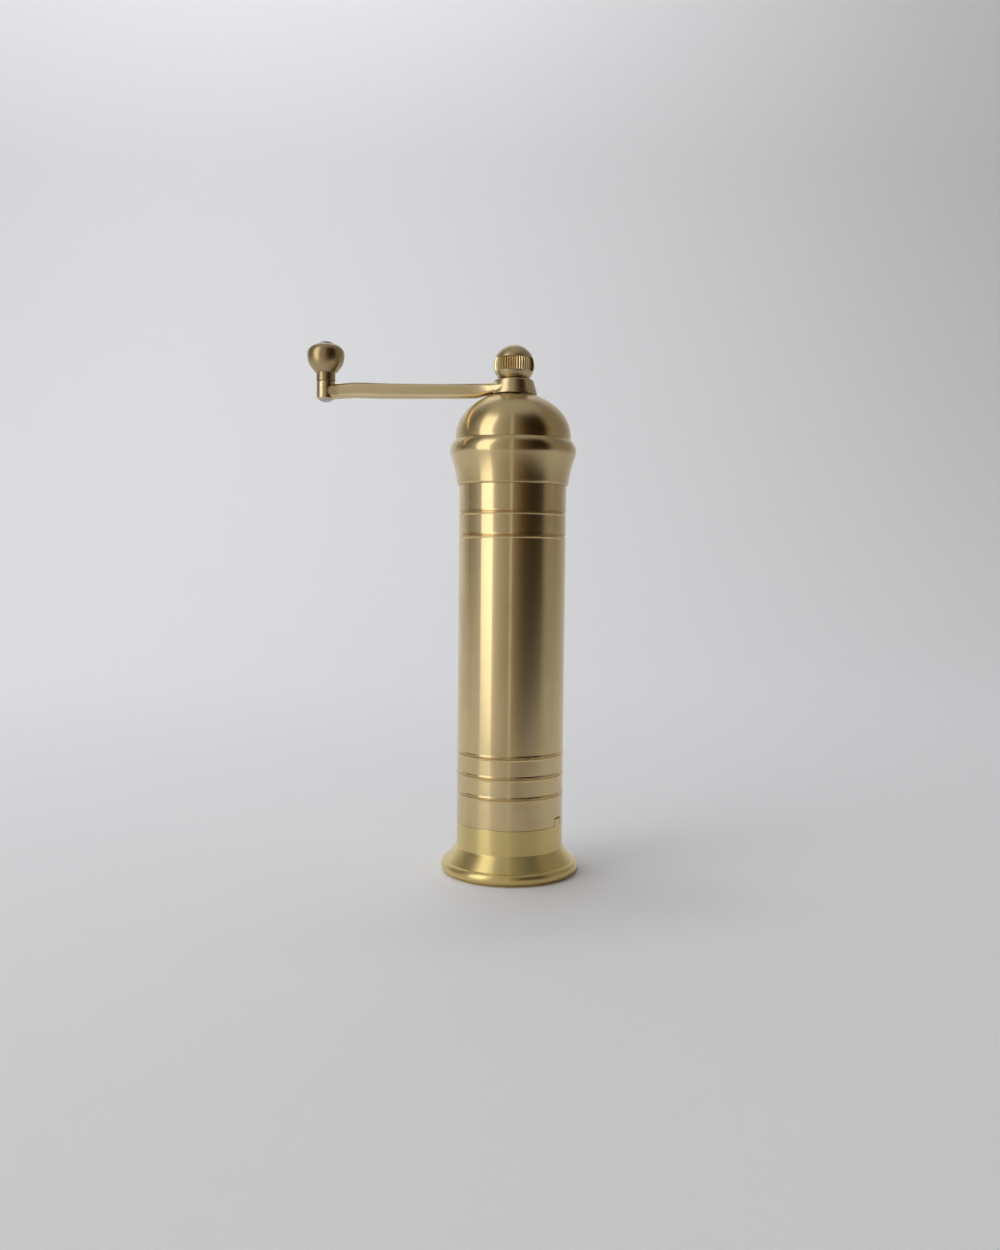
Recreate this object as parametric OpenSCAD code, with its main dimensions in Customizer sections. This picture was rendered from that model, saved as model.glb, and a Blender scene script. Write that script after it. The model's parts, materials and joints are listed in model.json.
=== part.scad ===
// Crank pepper mill: a brass tube on a flared foot, with a domed lid, a cranked handle
// and a ball nut. A spindle turns a conical burr inside a ring burr in the foot.
// Millimetres. The origin is the centre of the foot's rim, +Z runs up the mill's axis,
// and the crank rests towards -X.

/* [Barrel] */
// Outer diameter of the barrel
barrel_d = 40; // [39.8:0.1:40.2]
// Height of the seam between the foot and the barrel
seam_z = 19; // [18.8:0.1:19.2]
// Height of the barrel's top edge
barrel_top = 144.8; // [144.5:0.1:145]
// Wall thickness of the barrel
barrel_wall = 1.2; // [1.1:0.05:1.3]
// Width of a turned groove in the barrel
groove_w = 0.8; // [0.5:0.1:1]
// Depth of a turned groove in the barrel
groove_depth = 0.4; // [0.2:0.05:0.5]

/* [Lid] */
// Half width of the dome where it meets the bead
dome_r = 21.47; // [21.3:0.01:21.6]
// Rise of the dome's ellipse above its centre
dome_rise = 16.3; // [16.1:0.1:16.5]
// Sheet thickness of the lid
lid_wall = 1.2; // [1:0.05:1.3]

/* [Crank] */
// Distance from the mill's axis to the knob's axis
crank_reach = 69.8; // [66:0.1:73]
// Width of the crank's arm
arm_w = 6; // [5.4:0.1:6.6]
// Largest diameter of the knob
knob_d = 13.7; // [13:0.1:14.2]

/* [Ball nut] */
// Diameter of the ball nut
ball_d = 15; // [14.8:0.1:15.2]
// Teeth round the knurled band
knurl_teeth = 48; // [36:1:60]

/* [Grinding gear] */
// Diameter of the spindle
spindle_d = 6; // [5.9:0.05:6.1]
// Flutes round each burr
burr_flutes = 16; // [12:1:18]
// Gap between the two burrs, measured across the axis
grind_gap = 0.5; // [0.45:0.05:0.7]
// Working turns of the burr spring
spring_turns = 6; // [5:1:8]

/* [Hidden] */
$fn = 96;

// Fits: pieces that stay together, pieces that run, and faces that only rest together
seat_gap = 0.02;
run_gap = 0.05;
face_gap = 0.03;

// Barrel and foot
barrel_r = barrel_d / 2;
barrel_in = barrel_r - barrel_wall;
groove_zs = [30.4, 37.9, 45.4, 126.0, 134.5];
key_angle = -27.5;
key_w = 4.7;
key_h = 3.0;
key_play = 0.5;
spigot_top = seam_z + 9;
rim_r = 25.9;
rim_bead_r = 2.2;
crease = [24.1, 4.4];
cone_top = 9.6;
burr_seat_z = 17;
burr_seat_r = 17.25;
shelf_z = 10.3;
shelf_r = 14.2;

// Burrs
ring_top = 27;
throat_z = 21.5;
cone_low_r = 12.9;
cone_throat_r = 9.95;
cone_base_z = 16;
burr_screw_ring = 15.5;
burr_screw_r = 0.9;

// Bridge, adjuster and thrust ball
bridge_w = 7;
bridge_t = 3;
bridge_screw_x = 16.0;
bridge_screw_r = 1.0;
bridge_boss_r = 5;
adjuster_r = 2.5;
adjuster_tip = 11.2;
head_low = 1.3;
head_high = 4.2;
head_r = 5.6;
nut_low = 4.95;
boss_drop = 0.4;
ball_r = 2;
ball_z = 12.1;

// Spindle
spindle_r = spindle_d / 2;
spindle_foot = 13.0;
shoulder_z = 179.2;
square_af = 4.4;
square_top = 184.0;
thread_r = 2.0;
thread_pitch = 0.7;
thread_top = 190.0;

// Spring and its seat
seat_z = 116;
seat_t = 1.2;
spring_top = 131.4;
coil_r = 4.7;
wire_r = 0.45;

// Upper bridge
spider_z = 131.5;
spider_h = 4.5;
arm_t = 2.6;
bush_r = 4.2;

// Lid
rim_z = barrel_top + face_gap;
rim_out = 20.55;
lip_top = rim_z + 0.5;
bead_c = [18.15, 157.35];
bead_r = 5.33;
dome_c = 162.97;
crown_z = 177.5;
ring_low = 138.8;
ring_flange = 1.5;

// Crank
hub_low = 178.2;
hub_top = 184.0;
boss_r = 3.45;
boss_low = 176.2;
boss_top = 182.75;
knob_low = boss_top + face_gap;
neck_r = 3.48;
neck_top = 186.0;
knob_wide_z = 192.0;
knob_top = 196.4;
rivet_r = 1.5;
rivet_head_r = 2.75;

// Ball nut
washer_r = 4.6;
washer_t = 0.3;
nut_flat = hub_top + washer_t + 2 * face_gap;
ball_nut_r = ball_d / 2;
ball_nut_z = 189.3;
band_low = -2.4;
band_high = 2.5;
knurl_depth = 0.5;

// Points along an arc about c, from angle a to angle b
function arc(c, r, a, b, n = 10) =
    [for (i = [0:n]) let (t = a + (b - a) * i / n) [c.x + r * cos(t), c.y + r * sin(t)]];

// Points along the shallow arc of radius r from p to q, hollow on its right-hand side
function hollow(p, q, r, n = 8) =
    let (m = (p + q) / 2, d = q - p, l = norm(d), u = [d.y, -d.x] / l,
         c = m + u * sqrt(r * r - l * l / 4),
         a = atan2(p.y - c.y, p.x - c.x), b0 = atan2(q.y - c.y, q.x - c.x),
         b = b0 - a > 180 ? b0 - 360 : b0 - a < -180 ? b0 + 360 : b0)
    arc(c, r, a, b, n);

// Points along the dome's ellipse, drawn in by d, between two angles of its parameter
function dome_arc(d, a, b, n = 20) =
    [for (i = [0:n]) let (t = a + (b - a) * i / n)
        [(dome_r - d) * cos(t), dome_c + (dome_rise - d) * sin(t)]];

// Points along a cubic curve with two handles
function curve(p, h, k, q, n = 12) =
    [for (i = [0:n]) let (t = i / n, s = 1 - t)
        s * s * s * p + 3 * s * s * t * h + 3 * s * t * t * k + t * t * t * q];

// A turned ring between two radii, with its lower face at z
module ring(r_out, r_in, z, h) {
    translate([0, 0, z]) difference() {
        cylinder(r = r_out, h = h);
        translate([0, 0, -1]) cylinder(r = r_in, h = h + 2);
    }
}

// A threaded length drawn as a stack of turned ridges, from z = 0 upwards
module ridged_thread(r, pitch, turns, depth) {
    core = [for (i = [0:turns - 1], p = [[r - depth, 0], [r, 0.4], [r, 0.6]])
        [p.x, (i + p.y) * pitch]];
    rotate_extrude() polygon(concat([[0, 0]], core, [[r - depth, turns * pitch], [0, turns * pitch]]));
}

// A pan-headed screw standing on its tip at z = 0, with its head upwards and a slot in it
module slotted_screw(r, shank, head, head_h) {
    difference() {
        union() {
            cylinder(r = r, h = shank);
            translate([0, 0, shank]) cylinder(r1 = head, r2 = head * 0.86, h = head_h);
        }
        translate([-head, -0.25, shank + head_h * 0.45]) cube([2 * head, 0.5, head_h]);
    }
}

// The foot: a turned brass base with a rolled rim, a spigot for the barrel, the locating key
// at the seam, and inside it the ledge for the ring burr and the lugs' face for the bridge
module foot_base() {
    outside = concat(
        [[24.4, 0]],
        arc([rim_r - rim_bead_r, 2.4], rim_bead_r, -65, 70, 12),
        [crease, [barrel_r, cone_top], [barrel_r, seam_z],
         [barrel_in - seat_gap, seam_z], [barrel_in - seat_gap, spigot_top - 0.4],
         [barrel_in - 0.4, spigot_top]]);
    inside = [[burr_seat_r + 0.3, spigot_top], [burr_seat_r, spigot_top - 0.3],
              [burr_seat_r, burr_seat_z], [shelf_r, burr_seat_z], [shelf_r, shelf_z],
              [18.0, shelf_z], [18.4, 9.0], [21.8, 4.2], [22.6, 1.0], [23.4, 0]];
    color([0.74, 0.60, 0.31]) difference() {
        union() {
            rotate_extrude() polygon(concat(outside, inside));
            intersection() {
                ring(barrel_r, barrel_in - 0.3, seam_z - 0.5, key_h - key_play + 0.5);
                rotate([0, 0, key_angle]) translate([15, key_play / 2 - key_w / 2, seam_z - 1])
                    cube([8, key_w - key_play, 8]);
            }
        }
        for (a = [90, 210, 330]) rotate([0, 0, a])
            translate([burr_screw_ring, 0, burr_seat_z - 4]) cylinder(r = burr_screw_r, h = 5);
        for (s = [-1, 1])
            translate([s * bridge_screw_x, 0, shelf_z - 1]) cylinder(r = bridge_screw_r, h = 5);
    }
}

// The barrel: a plain tube with turned grooves and a notch that takes the foot's key
module barrel() {
    color([0.66, 0.53, 0.28]) difference() {
        ring(barrel_r, barrel_in, seam_z, barrel_top - seam_z);
        for (z = groove_zs)
            rotate_extrude() polygon([[barrel_r + 0.1, z - groove_w / 2 - 0.05],
                                      [barrel_r - groove_depth, z], [barrel_r + 0.1, z + groove_w / 2 + 0.05]]);
        rotate([0, 0, key_angle]) translate([15, -key_w / 2, seam_z - 1]) cube([8, key_w, key_h + 1]);
    }
}

// Radius of the cone burr's envelope at height z, in its fine band
function cone_r(z) =
    cone_low_r + (cone_throat_r - cone_low_r) * (z - burr_seat_z) / (throat_z - burr_seat_z);

// The ring burr: a steel ring whose bore narrows to a throat, with slanted flutes cut in it
module outer_burr() {
    low_r = cone_low_r + grind_gap;
    throat_r = cone_throat_r + grind_gap;
    slope = atan2(low_r - throat_r, throat_z - burr_seat_z);
    color([0.45, 0.45, 0.47]) difference() {
        ring(burr_seat_r - seat_gap, 5, burr_seat_z + seat_gap, ring_top - burr_seat_z - seat_gap);
        rotate_extrude() polygon([[0, burr_seat_z - 1], [low_r + 0.65, burr_seat_z - 1],
                                  [throat_r, throat_z], [throat_r + 0.9, ring_top - 0.8],
                                  [throat_r + 2, ring_top + 0.2], [0, ring_top + 0.2]]);
        for (i = [0:burr_flutes - 1]) rotate([0, 0, i * 360 / burr_flutes])
            translate([(low_r + throat_r) / 2 - 0.1, 0, (burr_seat_z + throat_z) / 2])
                rotate([0, -slope, 0]) rotate([18, 0, 0]) rotate([0, 0, 45])
                    translate([-0.6, -0.6, -12]) cube([1.2, 1.2, 24]);
        for (a = [90, 210, 330]) rotate([0, 0, a]) translate([burr_screw_ring, 0, 0]) {
            translate([0, 0, burr_seat_z - 1]) cylinder(r = burr_screw_r + seat_gap, h = 20);
            translate([0, 0, ring_top - 1.2]) cylinder(r = 1.65, h = 3);
        }
    }
}

// Three small screws that hold the ring burr down on its ledge
module burr_screws() {
    color([0.62, 0.62, 0.64])
        for (a = [90, 210, 330]) rotate([0, 0, a])
            translate([burr_screw_ring, 0, burr_seat_z - 3.6])
                slotted_screw(burr_screw_r, ring_top - 1.2 - burr_seat_z + 3.6 + seat_gap, 1.55, 1.0);
}

// The bar across the foot that carries the adjusting screw
module lower_bridge() {
    color([0.55, 0.55, 0.57]) difference() {
        union() {
            intersection() {
                translate([-18, -bridge_w / 2, shelf_z - bridge_t - seat_gap]) cube([36, bridge_w, bridge_t]);
                translate([0, 0, 5]) cylinder(r = 17.8, h = 8);
            }
            translate([0, 0, shelf_z - bridge_t - boss_drop])
                cylinder(r = bridge_boss_r, h = bridge_t + boss_drop);
        }
        translate([0, 0, 4]) cylinder(r = adjuster_r + run_gap, h = 9);
        for (s = [-1, 1])
            translate([s * bridge_screw_x, 0, 5]) cylinder(r = bridge_screw_r + seat_gap, h = 8);
    }
}

// Two screws that hold the bridge up against the foot
module bridge_screws() {
    color([0.62, 0.62, 0.64])
        for (s = [-1, 1])
            translate([s * bridge_screw_x, 0, shelf_z + 2.6]) mirror([0, 0, 1])
                slotted_screw(bridge_screw_r, bridge_t + 2.6 + 2 * seat_gap, 1.7, 1.1);
}

// The hexagonal nut that keeps the adjusting screw where it is set
module lock_nut() {
    nut_h = shelf_z - bridge_t - boss_drop - seat_gap - nut_low;
    color([0.72, 0.58, 0.30]) difference() {
        intersection() {
            translate([0, 0, nut_low]) cylinder(r = 4.62, h = nut_h, $fn = 6);
            translate([0, 0, nut_low - 0.5]) cylinder(r1 = 4.0, r2 = 5.0, h = 1.6 + 0.5);
        }
        translate([0, 0, nut_low - 1]) cylinder(r = adjuster_r + run_gap, h = nut_h + 2);
    }
}

// The knurled thumb screw under the mill that sets how finely it grinds
module adjust_screw() {
    teeth = 30;
    outline = [for (i = [0:2 * teeth - 1])
        let (r = i % 2 == 0 ? head_r : head_r - 0.4, a = i * 180 / teeth) [r * cos(a), r * sin(a)]];
    color([0.72, 0.58, 0.30]) difference() {
        union() {
            intersection() {
                translate([0, 0, head_low]) linear_extrude(head_high - head_low) polygon(outline);
                rotate_extrude() polygon([[0, head_low], [head_r - 0.7, head_low], [head_r, head_low + 0.7],
                                          [head_r, head_high - 0.5], [head_r - 0.5, head_high], [0, head_high]]);
            }
            translate([0, 0, head_high - 1]) cylinder(r = adjuster_r - 0.35, h = adjuster_tip - head_high + 1);
            translate([0, 0, head_high + 0.2]) ridged_thread(adjuster_r, 0.8, 7, 0.35);
        }
        translate([0, 0, ball_z]) sphere(r = ball_r + seat_gap);
        translate([-head_r, -0.5, head_low - 1]) cube([2 * head_r, 1, 1.8]);
    }
}

// The steel ball between the adjusting screw and the spindle
module thrust_ball() {
    color([0.80, 0.80, 0.82]) translate([0, 0, ball_z]) sphere(r = ball_r);
}

// The spindle: a steel rod, squared where it drives the crank and threaded at its top
module spindle() {
    color([0.60, 0.60, 0.62]) difference() {
        union() {
            translate([0, 0, spindle_foot]) cylinder(r = spindle_r, h = shoulder_z - spindle_foot);
            intersection() {
                translate([-square_af / 2, -square_af / 2, shoulder_z - 1])
                    cube([square_af, square_af, square_top - shoulder_z + 1]);
                translate([0, 0, shoulder_z - 1]) cylinder(r = spindle_r - 0.2, h = 8);
            }
            translate([0, 0, square_top - 1]) cylinder(r = thread_r - 0.3, h = thread_top - square_top + 1);
            translate([0, 0, square_top])
                ridged_thread(thread_r, thread_pitch, round((thread_top - square_top) / thread_pitch), 0.3);
        }
        translate([0, 0, ball_z]) sphere(r = ball_r + seat_gap);
        translate([0, -8, cone_base_z + 1.8]) rotate([-90, 0, 0]) cylinder(r = 0.8, h = 16);
        translate([0, -8, seat_z - 1.0]) rotate([-90, 0, 0]) cylinder(r = 0.8, h = 16);
    }
}

// The cone burr: wide and finely fluted at its foot, narrow at its top where it draws corns down
module inner_burr() {
    tip_r = 5.2;
    slope = atan2(cone_low_r - cone_throat_r, throat_z - burr_seat_z);
    rise = atan2(cone_throat_r - tip_r, 27 - throat_z);
    color([0.40, 0.40, 0.42]) difference() {
        rotate_extrude() polygon([[spindle_r + seat_gap, cone_base_z], [cone_r(cone_base_z + 0.6) - 0.6, cone_base_z],
                                  [cone_r(cone_base_z + 0.6), cone_base_z + 0.6], [cone_throat_r, throat_z],
                                  [tip_r, 27], [tip_r, 28.6], [spindle_r + seat_gap, 28.6]]);
        for (i = [0:burr_flutes - 1]) rotate([0, 0, i * 360 / burr_flutes])
            translate([(cone_low_r + cone_throat_r) / 2 + 0.1, 0, (burr_seat_z + throat_z) / 2])
                rotate([0, -slope, 0]) rotate([-18, 0, 0]) rotate([0, 0, 45])
                    translate([-0.5, -0.5, -12]) cube([1, 1, 24]);
        for (i = [0:5]) rotate([0, 0, i * 60])
            translate([(cone_throat_r + tip_r) / 2 + 0.6, 0, (27 + throat_z) / 2])
                rotate([0, -rise, 0]) rotate([-30, 0, 0]) rotate([0, 0, 45])
                    translate([-1.3, -1.3, -12]) cube([2.6, 2.6, 24]);
        translate([0, -14, cone_base_z + 1.8]) rotate([-90, 0, 0]) cylinder(r = 0.8 + seat_gap, h = 28);
    }
}

// The cross pin that drives the cone burr from the spindle
module burr_pin() {
    color([0.78, 0.78, 0.80]) translate([0, -9, cone_base_z + 1.8]) rotate([-90, 0, 0])
        cylinder(r = 0.78, h = 18);
}

// The washer on the spindle that the burr spring presses on
module spring_seat() {
    color([0.70, 0.56, 0.30]) ring(6.2, spindle_r + seat_gap, seat_z, seat_t);
}

// The cross pin that keeps the spring seat from sliding down the spindle
module seat_pin() {
    color([0.78, 0.78, 0.80]) translate([0, -5.4, seat_z - 0.98]) rotate([-90, 0, 0])
        cylinder(r = 0.78, h = 10.8);
}

// The open coil spring that presses the spindle down on the thrust ball
module burr_spring() {
    low = seat_z + seat_t + wire_r + seat_gap;
    high = spring_top - wire_r;
    sides = 8;
    steps = 20;
    rings = steps * (spring_turns + 2);
    // Each end has a closed turn that climbs only one wire, and the working turns share the rest
    closed = 2 * wire_r + 0.05;
    function lift(t) = low + closed * (min(t, 1) + max(t - spring_turns - 1, 0))
        + (high - low - 2 * closed) * min(max((t - 1) / spring_turns, 0), 1);
    points = [for (i = [0:rings], k = [0:sides - 1])
        let (t = i / steps, a = 360 * t, b = 360 * k / sides, r = coil_r + wire_r * cos(b))
        [r * cos(a), r * sin(a), lift(t) + wire_r * sin(b)]];
    color([0.70, 0.70, 0.72]) polyhedron(points,
        concat([[for (k = [0:sides - 1]) k]],
               [for (i = [0:rings - 1], k = [0:sides - 1])
                   let (a = i * sides + k, b = i * sides + (k + 1) % sides) [a, a + sides, b + sides, b]],
               [[for (k = [sides - 1:-1:0]) rings * sides + k]]));
}

// The three-armed bridge pressed into the barrel that steadies the spindle
module upper_bridge() {
    color([0.66, 0.53, 0.28]) difference() {
        union() {
            ring(barrel_in - seat_gap, barrel_in - 1.4, spider_z, spider_h);
            translate([0, 0, spider_z]) cylinder(r = bush_r + 2, h = spider_h);
            for (a = [90, 210, 330]) rotate([0, 0, a])
                translate([bush_r + 1, -arm_t / 2, spider_z]) cube([barrel_in - bush_r - 2, arm_t, 3]);
        }
        translate([0, 0, spider_z - 1]) cylinder(r = bush_r, h = spider_h + 2);
    }
}

// The bush in the upper bridge
module upper_bush() {
    color([0.60, 0.42, 0.24]) union() {
        ring(bush_r - seat_gap, spindle_r + run_gap, spider_z, spider_h);
        ring(bush_r + 1, spindle_r + run_gap, spider_z + spider_h + seat_gap, 0.8);
        ring(bush_r - seat_gap, spindle_r + run_gap, spider_z + spider_h - 0.1, 0.5);
    }
}

// The flanged ring inside the lid that drops into the barrel's mouth
module lid_ring() {
    out_r = barrel_in - 0.1;
    color([0.66, 0.53, 0.28]) rotate_extrude()
        polygon([[out_r - 1.1, ring_low], [out_r - 0.3, ring_low], [out_r, ring_low + 0.5],
                 [out_r, rim_z], [rim_out - lid_wall, rim_z], [rim_out - lid_wall, rim_z + ring_flange],
                 [out_r - 1.1, rim_z + ring_flange]]);
}

// The lid: a spun dome over a rounded bead, waisted below the bead
module dome_cap() {
    bead_foot = arc(bead_c, bead_r, -14, -14, 1)[0];
    corner = 51.8;
    skin = concat(
        hollow([rim_out + 0.15, lip_top], bead_foot, 47.7, 8),
        arc(bead_c, bead_r, -13, corner, 14),
        dome_arc(0, -5, 63.6, 20));
    lining = concat(
        dome_arc(lid_wall, 62.6, -5, 20),
        arc(bead_c, bead_r - lid_wall, corner - 8, -13, 14),
        [[rim_out - lid_wall + seat_gap, lip_top + 0.8], [rim_out - lid_wall + seat_gap, rim_z]]);
    color([0.62, 0.52, 0.34]) difference() {
        rotate_extrude() polygon(concat([[rim_out, rim_z]], skin, [[8.4, crown_z], [0, crown_z],
            [0, crown_z - lid_wall]], lining));
        translate([0, 0, 160]) cylinder(r = 5.5, h = 30);
    }
}

// The flanged bush soldered in the lid's crown, which the spindle passes through
module dome_bush() {
    color([0.70, 0.56, 0.30]) difference() {
        union() {
            translate([0, 0, 170.5]) cylinder(r = 5.5 - seat_gap, h = crown_z - 170.5);
            translate([0, 0, crown_z - lid_wall - 1.5]) cylinder(r = 8, h = 1.4);
        }
        translate([0, 0, 169]) cylinder(r = spindle_r + 0.1, h = 12);
    }
}

// The crank: a hub with a square hole, a slim arm and the boss that carries the knob
module crank_arm() {
    // Side outline of the arm from the hub to the boss, dipping a little near the hub
    over = concat(curve([-4, 182.1], [-8, 182.1], [-9.5, 181.8], [-15, 181.75], 8),
                  curve([-23, 181.7], [-40, 182.0], [-48, 182.4], [-58, 182.0], 8),
                  [[-crank_reach + 2, 181.9]]);
    under = concat([[-crank_reach + 2, 176.9]],
                   curve([-66, 176.9], [-63, 177.0], [-61, 177.5], [-54, 177.6], 8),
                   curve([-45, 177.6], [-35, 177.3], [-25, 177.2], [-15, 177.3], 8),
                   curve([-12.5, 177.35], [-11, 177.5], [-10, 178.1], [-8, 178.3], 6), [[-4, 178.3]]);
    // Plan of the arm, flaring into the hub and the boss
    side = concat(curve([-4, -6.2], [-8, -5.2], [-9, -arm_w / 2], [-14, -arm_w / 2], 6),
                  [[-crank_reach + 7, -arm_w / 2], [-crank_reach + 2, -boss_r * 0.94]]);
    color([0.70, 0.57, 0.31]) difference() {
        union() {
            rotate_extrude() polygon(concat(
                [[0, hub_low], [8.5, hub_low], [8.75, hub_low + 0.3], [8.2, 180.7], [7.6, 183.0]],
                arc([6.5, 182.9], 1.1, 20, 90, 5), [[0, hub_top]]));
            translate([-crank_reach, 0, 0]) rotate_extrude() polygon(
                [[0, boss_low], [boss_r - 0.5, boss_low], [boss_r, boss_low + 0.5], [boss_r, boss_top],
                 [0, boss_top]]);
            intersection() {
                translate([0, 10, 0]) rotate([90, 0, 0]) linear_extrude(20) polygon(concat(over, under));
                translate([0, 0, 170]) linear_extrude(20)
                    polygon(concat(side, [for (i = [len(side) - 1:-1:0]) [side[i].x, -side[i].y]]));
            }
        }
        translate([-square_af / 2 - run_gap, -square_af / 2 - run_gap, hub_low - 1])
            cube([square_af + 2 * run_gap, square_af + 2 * run_gap, 10]);
        translate([0, 0, hub_low - 1]) cylinder(r = spindle_r + 0.1, h = shoulder_z + run_gap - hub_low + 1);
        translate([-crank_reach, 0, boss_low - 1]) cylinder(r = rivet_r, h = 10);
    }
}

// The knob: a turned pear on a short neck that spins on its rivet
module knob() {
    wide = knob_d / 2;
    power = 2.6;
    cap = knob_top - knob_wide_z;
    crown = [for (i = [0:14]) let (t = cap * i / 14)
        [wide * pow(1 - pow(t / (cap + 0.25), power), 1 / power), knob_wide_z + t]];
    profile = concat(
        [[0, knob_low], [neck_r, knob_low], [neck_r, neck_top - 0.1], [3.9, neck_top]],
        curve([3.9, neck_top], [5.0, 187.3], [wide, 189.0], [wide, knob_wide_z], 14), crown,
        [[0, knob_top]]);
    color([0.55, 0.44, 0.24]) translate([-crank_reach, 0, 0]) difference() {
        rotate_extrude() polygon(profile);
        translate([0, 0, knob_low - 1]) cylinder(r = rivet_r + run_gap, h = 20);
    }
}

// The steel rivet that holds the knob on the crank
module knob_rivet() {
    head_z = knob_top + face_gap;
    color([0.78, 0.78, 0.80]) translate([-crank_reach, 0, 0]) rotate_extrude() polygon(concat(
        arc([0, boss_low + 3], 4.1, -90, -50, 6),
        [[rivet_head_r, boss_low - 0.1], [rivet_head_r, boss_low - seat_gap], [rivet_r, boss_low - seat_gap],
         [rivet_r, head_z], [rivet_head_r, head_z], [rivet_head_r - 0.1, head_z + 0.35],
         [1.9, head_z + 0.75], [0, head_z + 0.9]]));
}

// The thin washer under the ball nut
module nut_washer() {
    color([0.50, 0.42, 0.26]) ring(washer_r, thread_r + 0.3, hub_top + face_gap, washer_t);
}

// The ball nut, with a straight knurled band round its middle
module ball_nut() {
    // The teeth stand past the ball, which trims their crests
    outline = [for (i = [0:2 * knurl_teeth - 1])
        let (r = ball_nut_r + (i % 2 == 0 ? 0.1 : -knurl_depth), a = i * 180 / knurl_teeth)
        [r * cos(a), r * sin(a)]];
    color([0.70, 0.57, 0.31]) difference() {
        translate([0, 0, ball_nut_z]) intersection() {
            sphere(r = ball_nut_r);
            union() {
                translate([0, 0, band_low]) linear_extrude(band_high - band_low) polygon(outline);
                for (z = [band_high, band_low - 10]) translate([0, 0, z]) cylinder(r = 10, h = 10);
            }
        }
        translate([0, 0, nut_flat - 20]) cylinder(r = 12, h = 20);
        translate([0, 0, nut_flat - 1]) cylinder(r = thread_r + run_gap, h = thread_top - nut_flat + 1.5);
    }
}

foot_base();
barrel();
outer_burr();
burr_screws();
lower_bridge();
bridge_screws();
lock_nut();
adjust_screw();
thrust_ball();
spindle();
inner_burr();
burr_pin();
spring_seat();
seat_pin();
burr_spring();
upper_bridge();
upper_bush();
lid_ring();
dome_cap();
dome_bush();
crank_arm();
knob();
knob_rivet();
nut_washer();
ball_nut();
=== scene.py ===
"""A crank pepper mill in satin brass, standing on a pale studio sweep.

The outer pieces are turned, cast and knurled here in full detail, and the grinding gear keeps its
working shapes with softened edges. Lengths in the piece functions are in millimetres.
"""
import json
from math import atan2, cos, degrees, pi, radians, sin, sqrt, tan

import bmesh
import bpy
from mathutils import Matrix, Vector


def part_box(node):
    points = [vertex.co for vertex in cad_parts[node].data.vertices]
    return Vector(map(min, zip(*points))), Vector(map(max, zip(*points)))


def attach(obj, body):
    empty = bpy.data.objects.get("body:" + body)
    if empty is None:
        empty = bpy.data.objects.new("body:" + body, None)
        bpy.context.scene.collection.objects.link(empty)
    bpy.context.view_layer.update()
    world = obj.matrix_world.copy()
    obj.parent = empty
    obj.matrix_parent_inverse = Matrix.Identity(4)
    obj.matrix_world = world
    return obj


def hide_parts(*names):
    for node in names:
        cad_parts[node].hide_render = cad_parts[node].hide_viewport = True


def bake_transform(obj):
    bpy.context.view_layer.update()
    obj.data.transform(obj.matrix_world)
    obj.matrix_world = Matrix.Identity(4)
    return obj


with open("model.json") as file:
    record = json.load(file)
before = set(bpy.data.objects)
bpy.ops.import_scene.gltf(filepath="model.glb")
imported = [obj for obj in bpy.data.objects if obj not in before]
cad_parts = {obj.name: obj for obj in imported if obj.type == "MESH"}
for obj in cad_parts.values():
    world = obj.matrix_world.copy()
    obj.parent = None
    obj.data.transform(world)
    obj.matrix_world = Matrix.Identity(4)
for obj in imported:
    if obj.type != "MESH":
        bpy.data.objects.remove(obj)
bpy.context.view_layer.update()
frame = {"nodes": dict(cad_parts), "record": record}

MM = 0.001
AXIS = (0.0, 0.0)

# Heights and radii of the design, in millimetres, read from the frame
LOW = {name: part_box(name)[0] / MM for name in frame["nodes"]}
HIGH = {name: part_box(name)[1] / MM for name in frame["nodes"]}
BARREL_R = HIGH["barrel"].x
BARREL_TOP = HIGH["barrel"].z
SEAM = LOW["barrel"].z
BARREL_IN = HIGH["upper_bridge"].x + 0.02
KNOB_X = (LOW["knob"].x + HIGH["knob"].x) / 2
HUB_LOW, HUB_TOP = LOW["crank_arm"].z + 2.0, LOW["nut_washer"].z - 0.03

# Where the arm leaves the hub and the boss, and its lower and upper edge
HUB_R, BOSS_R = 9.0, 3.3
ARM_LOW, ARM_TOP = 177.1, 182.0


# ---------------------------------------------------------------- shader maths

class Number:
    """A number inside a shader, so that surface maths reads as ordinary Python."""

    def __init__(self, shader, socket):
        self.shader, self.socket = shader, socket

    def _math(self, operation, first, second=0.0):
        node = self.shader.node("ShaderNodeMath", {"operation": operation}, {0: first, 1: second})
        return Number(self.shader, node.outputs[0])

    def __add__(self, other): return self._math("ADD", self, other)
    def __radd__(self, other): return self._math("ADD", other, self)
    def __sub__(self, other): return self._math("SUBTRACT", self, other)
    def __rsub__(self, other): return self._math("SUBTRACT", other, self)
    def __mul__(self, other): return self._math("MULTIPLY", self, other)

    def root(self): return self._math("SQRT", self)

    def ramp(self, low, high):
        """0 below low, 1 above high and a smooth rise between."""
        node = self.shader.node(
            "ShaderNodeMapRange", {"interpolation_type": "SMOOTHSTEP"},
            {"Value": self, "From Min": low, "From Max": high})
        return Number(self.shader, node.outputs["Result"])


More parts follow.
